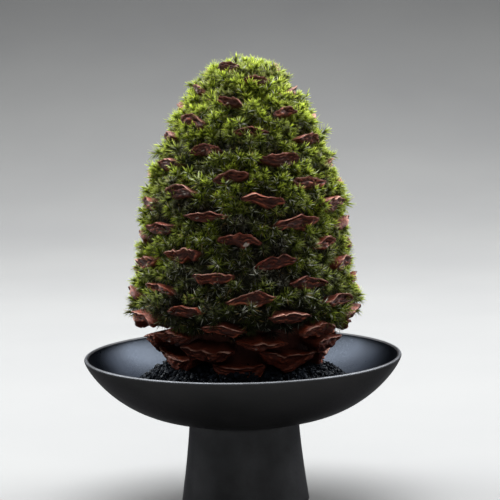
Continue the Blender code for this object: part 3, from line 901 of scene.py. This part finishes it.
def scale_form(rng, half_width, half_thickness, low):
    """Return one scale's points in its own frame, x across, y up and z outward, and its tones."""
    turn = np.arange(AROUND) * math.tau / AROUND
    side, sine = np.cos(turn), np.sin(turn)
    width = half_width * rng.uniform(*FACE_WIDTH_JITTER) * (1 + LOW_WIDENING * low)
    top, bottom = scale_rims(rng, side, half_thickness, low)
    middle = FACE_MIDDLE * top + (1 - FACE_MIDDLE) * bottom
    points = scale_rings(side * width, np.where(sine > 0, top, bottom), middle, sine)
    face = points[-FACE_RINGS:]
    stand, crest, ridge = face_relief(rng, face, top - face[..., 1], top - bottom)
    knob = face_knob(rng, face, width, bottom, 2 * half_thickness)
    face[..., 2] = stand * rng.uniform(*RELIEF_JITTER) + UMBO_HEIGHT * knob
    set_scale(rng, points, width, low)
    return points, scale_tones(rng, points, crest, ridge, knob, low)


def make_scales(look, sites):
    """Make every scale on the spiral in full relief, as one piece."""
    rng = np.random.default_rng(SCALE_SEED)
    rings = BODY_RINGS + len(RIM_RINGS) + FACE_RINGS
    count = rings * AROUND
    form_faces = np.concatenate([
        ring_faces(rings, AROUND),
        lens_cap(0, AROUND, True),
        lens_cap(count - AROUND, AROUND, False),
    ])
    points, faces, scales = [], [], []
    for number, (place, *sizes) in enumerate(sites):
        form, tones = scale_form(rng, *sizes)
        form = form.reshape(-1, 3)
        points.append(form @ place[:3, :3].T + place[:3, 3])
        faces.append(form_faces + number * count)
        # Painted sheen of the sky, stronger on the upper scales
        sky_sheen = np.clip((place[2, 3] - SKY_SHEEN_HEIGHT) / SKY_SHEEN_REACH, 0, 1)
        values = {key: tone.ravel() for key, tone in tones.items()}
        values["tone"] = np.full(count, rng.uniform())
        values["grain"] = form + rng.uniform(0, 1, 3)
        values["sky_sheen"] = np.full(count, sky_sheen)
        scales.append(values)
    values = {key: np.concatenate([scale[key] for scale in scales]) for key in scales[0]}
    piece = mesh_object("cone_scales", np.concatenate(points), np.concatenate(faces), look, values)
    hand_over(piece, "cone_wood", "pine_cone")


def grown_skin(outline, rows, steps, depth, seed, wave):
    """Return points and faces of a closed, wavy skin under an outline on the leaning axis.

    Its last two points close it at the top and the bottom.
    """
    height, radius, lift = outline.at((np.arange(rows) + 0.5) / rows)
    angles = np.arange(steps) * math.tau / steps
    grid = np.repeat(angles[None], rows, axis=0)
    outward = directions(grid, lift[:, None])
    points = axis_points(height)[:, None] + directions(grid, 0.0) * radius[:, None, None] - outward * depth
    points = points.reshape(-1, 3)
    waves = waved(np.random.default_rng(seed), points, *wave)
    points = points + outward.reshape(-1, 3) * waves[:, None]
    top, bottom = points[:steps].mean(axis=0), points[-steps:].mean(axis=0)
    faces = [ring_faces(rows, steps)[:, ::-1]]
    last = (rows - 1) * steps
    ring = np.arange(steps)
    after = (ring + 1) % steps
    pole, foot = len(points), len(points) + 1
    faces.append(np.stack([ring, after, np.full(steps, pole)], axis=-1))
    faces.append(np.stack([last + after, last + ring, np.full(steps, foot)], axis=-1))
    return np.concatenate([points, [top, bottom]]), np.concatenate(faces)


def make_core(look):
    """Make the woody core between the scales."""
    sides = [(height, radius * CORE_SHARE) for height, radius in CONE_OUTLINE
             if CORE_WAIST < height < CORE_TOP[0]]
    outline = Outline([CORE_TOP] + sides + CORE_BASE)
    points, faces = grown_skin(outline, *CORE_GRID, 0.0, CORE_SEED, BARK)
    values = {"root": np.full(len(points), CORE_ROOT_TONE), "grain": points}
    hand_over(mesh_object("cone_core", points, faces, look, values), "cone_wood", "pine_cone")


def moss_edge(angles):
    """Return the height down to which moss grows: ragged all round, and highest on the left."""
    ragged = sum(height * np.sin(count * angles + start) for height, count, start in EDGE_WAVES)
    left = np.clip(-np.cos(angles), 0, 1) ** 3
    return EDGE_HEIGHT + EDGE_SIDES * np.cos(angles) ** 2 + EDGE_LEFT * left + ragged


def make_bed(look):
    """Make the matted lower layer that the shoots stand on."""
    covered = [point for point in CONE_OUTLINE if point[0] > MOSS_LOW]
    outline = Outline(covered + [(MOSS_LOW, MOSS_EDGE_RADIUS)])
    points, faces = grown_skin(outline, *BED_GRID, BED_DEPTH, BED_SEED, BED_LUMPS)
    hand_over(mesh_object("moss_bed", points, faces, look), "moss", "moss")


def inside_scale(points, sites):
    """Tell which points lie within the cross-section of a scale, or very near it."""
    inside = np.zeros(len(points), bool)
    for place, half_width, half_thickness, _ in sites:
        local = (points - place[:3, 3]) @ place[:3, :3]
        near = (local[:, 2] > -SCALE_LENGTH) & (local[:, 2] < TEST_REACH)
        halves = np.array([half_width, half_thickness]) + TEST_MARGIN
        lens = (np.abs(local[:, :2] / halves) ** TEST_POWERS).sum(axis=1)
        inside |= near & (lens < 1)
    return inside


def shoot_sites(rng, outline, sites):
    """Return each moss shoot's foot, direction, angle and height, and if it is tall, clear of the scales."""
    lowest = outline.share_above(SITES_LOWEST)
    number = np.arange(SITES)
    share = (number + rng.uniform(0, 1, SITES)) / SITES * lowest
    angles = np.remainder(GOLDEN_ANGLE * number + rng.normal(0, TURN_STRAY, SITES), math.tau)
    height, radius, lift = outline.at(share)
    outward = directions(angles, lift)
    surface = axis_points(height) + directions(angles, 0.0) * radius[:, None]
    clumps = waved(rng, surface, *CLUMPS)
    tall = rng.uniform(size=SITES) < TALL_SHARE
    short_depth, tall_depth = rng.uniform(*SHORT_DEPTH, SITES), rng.uniform(*TALL_DEPTH, SITES)
    depth = np.where(tall, tall_depth, short_depth) - clumps
    depth += EDGE_TUCK * np.clip((TUCK_HEIGHT - height) / TUCK_REACH, 0, 1)
    foot = surface - outward * depth[:, None]
    free = (height > moss_edge(angles)) & ~inside_scale(surface - outward * TEST_DEPTH, sites)
    lean = unit(outward + SHOOT_UPWARD + rng.normal(0, SHOOT_STRAY, outward.shape))
    return foot[free], lean[free], angles[free], height[free], tall[free]


def shoot_leaves(rng, foot, axis, size):
    """Return the points of every leaf of every shoot, as closed three-sided needles."""
    side = unit(np.cross(axis, rng.normal(size=axis.shape)))
    other = np.cross(axis, side)
    order = np.arange(LEAVES) / (LEAVES - 1)
    shape = (len(foot), LEAVES)
    turn = GOLDEN_ANGLE * np.arange(LEAVES) + rng.uniform(0, math.tau, (len(foot), 1))
    turn = turn + rng.normal(0, LEAF_TURN_STRAY, shape)
    spread = SPREAD_LOW + (SPREAD_TOP - SPREAD_LOW) * order
    spread = spread + rng.normal(0, SPREAD_STRAY, shape)
    length = (rng.uniform(*LEAF_LENGTH, shape) * size[:, None])[..., None]
    width = rng.uniform(*LEAF_WIDTH, shape)[..., None]
    outward = np.cos(turn)[..., None] * side[:, None] + np.sin(turn)[..., None] * other[:, None]
    stem = axis[:, None]
    along = np.cos(spread)[..., None] * stem + np.sin(spread)[..., None] * outward
    across = unit(np.cross(outward, stem) + rng.normal(0, TWIST_STRAY, (*shape, 3)))
    under = unit(np.cross(along, across))
    risen = FIRST_LEAF + (1 - FIRST_LEAF) * order[:, None]
    base = foot[:, None] + stem * SHOOT_STEM * size[:, None, None] * risen
    middle = base + along * length * LEAF_MIDDLE
    curl = rng.uniform(*LEAF_CURL, (*shape, 1))
    tip = base + along * length * LEAF_REACH + outward * length * curl
    tip[..., 2:] -= LEAF_DROOP * length
    points = np.stack([base, middle + across * width / 2, middle - across * width / 2,
                       middle + under * width * LEAF_KEEL, tip], axis=2)
    return points.reshape(-1, 3)


def moss_tones(rng, foot, angles, height, tall):
    """Return how fresh each shoot is, with painted light up the cone and painted shade on its front, how
    much painted shade darkens it, and how often a leaf of it is pale as a painted glint.
    """
    up = np.clip((height - UPPER_FROM) / UPPER_REACH, 0, 1)
    front = np.clip(-np.sin(angles), 0, 1) ** 2 * (1 - up)
    low = np.clip((SHADED_HEIGHT - height) / SHADED_REACH, 0, 1)
    # Fresher up the cone, partly painted light on the lit top; less fresh on the front, as painted shade
    fresh = FRESH_DOWN + FRESH_UP_AND_LIT * up + FRESH_FRONT_SHADE * front + np.where(tall, FRESH_TALL, FRESH_SHORT)
    fresh += sum(waved(rng, foot, *wave) for wave in FRESH_PATCHES)
    shaded = SHADE_DOWN * (1 - up) + front * (SHADE_FRONT + SHADE_FRONT_LOW * low)
    # Pale leaves are painted glints, most on the front
    often = GLINT_SHARE + GLINT_FRONT_SHARE * front * (1 - GLINT_LOW_LOSS * low)
    return fresh, shaded, often


def leaf_values(rng, fresh, shaded, often):
    """Return values for the points of every leaf, from the tones of the shoots that they grow on."""
    order = np.tile(np.arange(LEAVES) / (LEAVES - 1), len(fresh))
    fresh, shaded, often = (np.repeat(tone, LEAVES) for tone in (fresh, shaded, often))
    leaves = len(order)
    risen = FIRST_ALONG + (1 - FIRST_ALONG) * order
    along = LEAF_ALONG * risen[:, None] + rng.normal(0, ALONG_STRAY, (leaves, 1))
    along *= 1 - shaded[:, None]
    fresh = fresh + rng.normal(0, FRESH_STRAY, leaves)
    dry = (rng.uniform(size=leaves) < DRY_SHARE) * rng.uniform(*DRY_AMOUNT, leaves)
    pale = (rng.uniform(size=leaves) < often) * rng.uniform(*GLINT_AMOUNT, leaves)
    by_leaf = {"fresh": np.clip(fresh, 0, 1), "dry": dry, "pale": pale}
    by_point = {key: np.repeat(value, len(LEAF_ALONG)) for key, value in by_leaf.items()}
    return {"along": np.clip(along, 0, 1).ravel()} | by_point


def make_moss(outline, look, sites):
    """Grow shoots of needle leaves between the scales, in four pieces round the cone."""
    rng = np.random.default_rng(MOSS_SEED)
    foot, axis, angles, height, tall = shoot_sites(rng, outline, sites)
    tones = moss_tones(rng, foot, angles, height, tall)
    order = np.argsort(angles)
    for name, chosen in zip(MOSS_PIECES, np.array_split(order, len(MOSS_PIECES))):
        size = rng.uniform(*SHOOT_SIZE, len(chosen)) * np.where(tall[chosen], TALL_SIZE, SHORT_SIZE)
        leader = (rng.uniform(size=len(chosen)) < LEADER_SHARE) & (height[chosen] < LEADER_LIMIT)
        size *= np.where(leader, LEADER_SIZE, 1.0)
        points = shoot_leaves(rng, foot[chosen], axis[chosen], size)
        first = len(LEAF_ALONG) * np.arange(len(chosen) * LEAVES)
        faces = (LEAF_FACES + first[:, None, None]).reshape(-1, 3)
        values = leaf_values(rng, *(tone[chosen] for tone in tones))
        hand_over(mesh_object(name, points, faces, look, values), "moss", "moss")


def grit_height(radius):
    """Return the height of the heap's top at a distance from the axis."""
    edge_radius, edge_height = grit_wall()[0]
    share = np.clip((radius - GRIT_TOP_RADIUS) / (edge_radius - GRIT_TOP_RADIUS), 0, 1)
    return GRIT_TOP_HEIGHT + (edge_height - GRIT_TOP_HEIGHT) * share


def grit_wall():
    """Return the inside of the bowl below the grit's edge, a little clear of the metal."""
    inner_wall = offset_inward(bowl_outside(WALL_STEPS), BOWL_WALL + 2 * CLEARANCE)
    return [point for point in inner_wall if point[1] < GRIT_EDGE_HEIGHT]


def make_grit_bed(look):
    """Turn the heap that the grains lie in, just under its top."""
    wall = grit_wall()
    slope = [(radius, float(grit_height(radius)) - HEAP_DEPTH)
             for radius in np.linspace(GRIT_TOP_RADIUS, wall[0][0] - HEAP_MARGIN, HEAP_ROWS)]
    profile = [(0.0, GRIT_TOP_HEIGHT - HEAP_DEPTH)] + slope + wall[1:]
    hand_over(turned("grit_bed", profile, HEAP_STEPS, look), "black_grit", "grit")


def grain_form():
    """Return the points and faces of an icosahedron."""
    ends = itertools.product((-1, 1), (-GOLDEN_RATIO, GOLDEN_RATIO))
    points = [point for a, b in ends for point in ((0, a, b), (a, b, 0), (b, 0, a))]
    points = unit(np.array(points))
    edge = min(np.linalg.norm(points[0] - other) for other in points[1:])
    faces = []
    for a, b, c in itertools.combinations(range(len(points)), 3):
        triangle = points[[a, b, c]]
        sides = np.linalg.norm(triangle - np.roll(triangle, 1, axis=0), axis=1)
        if np.allclose(sides, edge):
            normal = np.cross(triangle[1] - triangle[0], triangle[2] - triangle[0])
            faces.append((a, b, c) if normal @ triangle.mean(axis=0) > 0 else (a, c, b))
    return points, np.array(faces)


def make_grains(look):
    """Strew broken grains over the heap."""
    rng = np.random.default_rng(GRAIN_SEED)
    form, form_faces = grain_form()
    number = np.arange(GRAINS)
    share = (number + 0.5) / GRAINS
    radius = np.sqrt(GRAIN_INNER ** 2 + (GRAIN_OUTER ** 2 - GRAIN_INNER ** 2) * share)
    radius = radius + rng.normal(0, GRAIN_STRAY, GRAINS)
    angle = GOLDEN_ANGLE * number + rng.normal(0, TURN_STRAY, GRAINS)
    size = rng.uniform(*GRAIN_RADIUS, GRAINS)
    limit = grit_wall()[0][0] - GRAIN_ROOM * size
    radius = np.minimum(radius, limit - rng.uniform(0, GRAIN_EDGE_BAND, GRAINS))
    place = np.stack([radius * np.cos(angle), radius * np.sin(angle), 0 * radius], axis=-1)
    rise = waved(rng, place, *GRAIN_LUMPS) + rng.uniform(*GRAIN_SINK, GRAINS)
    place[:, 2] = grit_height(radius) + rise
    shapes = form * rng.uniform(*GRAIN_CORNERS, (GRAINS, len(form), 1))
    shapes = shapes * rng.uniform(*GRAIN_STRETCH, (GRAINS, 1, 3)) * size[:, None, None]
    turns = np.array([Quaternion(q).to_matrix() for q in unit(rng.normal(size=(GRAINS, 4)))])
    points = np.einsum("nij,nkj->nki", turns, shapes) + place[:, None]
    faces = (form_faces + len(form) * number[:, None, None]).reshape(-1, 3)
    tone = np.repeat(rng.beta(*GRAIN_TONES, GRAINS), len(form))
    grains = mesh_object("grit_grains", points.reshape(-1, 3), faces, look, {"tone": tone}, smooth=False)
    hand_over(grains, "black_grit", "grit")


def make_floor():
    """Make a pale floor that sweeps up into a wall far behind the object."""
    curve = [(-FLOOR_REACH, 0.0), (BEND_START, 0.0)]
    curve += [(BEND_START + BEND_RADIUS * math.sin(a), BEND_RADIUS * (1 - math.cos(a)))
              for a in np.linspace(0, math.pi / 2, BEND_STEPS + 1)[1:]]
    curve.append((BEND_START + BEND_RADIUS, WALL_HEIGHT))
    points = [(x, y, z) for y, z in curve for x in (-FLOOR_REACH, FLOOR_REACH)]
    faces = [(2 * i, 2 * i + 1, 2 * i + 3, 2 * i + 2) for i in range(len(curve) - 1)]
    mesh_object("floor", points, faces, floor_look())


def add_light(name, place, size, power, color):
    light = bpy.data.lights.new(name, "AREA")
    light.shape = "DISK"
    light.size = size
    light.energy = power
    light.color = color
    item = bpy.data.objects.new(name, light)
    item.location = place
    item.rotation_mode = "QUATERNION"
    item.rotation_quaternion = (Vector(LIGHT_TARGET) - Vector(place)).to_track_quat("-Z", "Y")
    bpy.context.scene.collection.objects.link(item)


def add_lights():
    """Light from above and behind, from both sides, and a little from the front."""
    for settings in LIGHTS:
        add_light(*settings)
    world = bpy.data.worlds.new("studio")
    world.use_nodes = True
    background = world.node_tree.nodes["Background"]
    background.inputs["Color"].default_value = WORLD_COLOR
    background.inputs["Strength"].default_value = WORLD_STRENGTH
    bpy.context.scene.world = world
    bpy.context.scene.view_settings.view_transform = "Standard"


def add_camera():
    camera = bpy.data.objects.new("camera", bpy.data.cameras.new("camera"))
    camera.data.lens = CAMERA_LENS
    camera.data.sensor_width = CAMERA_SENSOR
    camera.data.clip_start, camera.data.clip_end = CAMERA_CLIP
    camera.location = CAMERA_PLACE
    camera.rotation_mode = "QUATERNION"
    level = Vector(CAMERA_FORWARD).to_track_quat("-Z", "Y")
    camera.rotation_quaternion = level @ Quaternion((0, 0, 1), -CAMERA_ROLL)
    bpy.context.scene.collection.objects.link(camera)
    bpy.context.scene.camera = camera


def corners(box):
    return [list(corner) for corner in box]


def main():
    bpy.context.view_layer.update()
    add_camera()
    add_lights()
    make_floor()
    outline = Outline(CONE_OUTLINE)
    sites = scale_sites(outline)
    metal, wood, grit = metal_look(), wood_look(), grit_look()
    make_bowl(metal)
    make_foot(metal)
    make_core(wood)
    make_scales(wood, sites)
    make_bed(bed_look())
    make_moss(outline, moss_look(), sites)
    make_grit_bed(grit)
    make_grains(grit)


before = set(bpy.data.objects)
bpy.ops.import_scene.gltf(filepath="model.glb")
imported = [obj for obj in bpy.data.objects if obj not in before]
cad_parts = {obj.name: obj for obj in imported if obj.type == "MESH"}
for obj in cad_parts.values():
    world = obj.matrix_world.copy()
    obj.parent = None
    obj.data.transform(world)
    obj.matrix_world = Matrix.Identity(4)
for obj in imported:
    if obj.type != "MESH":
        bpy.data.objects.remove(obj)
main()
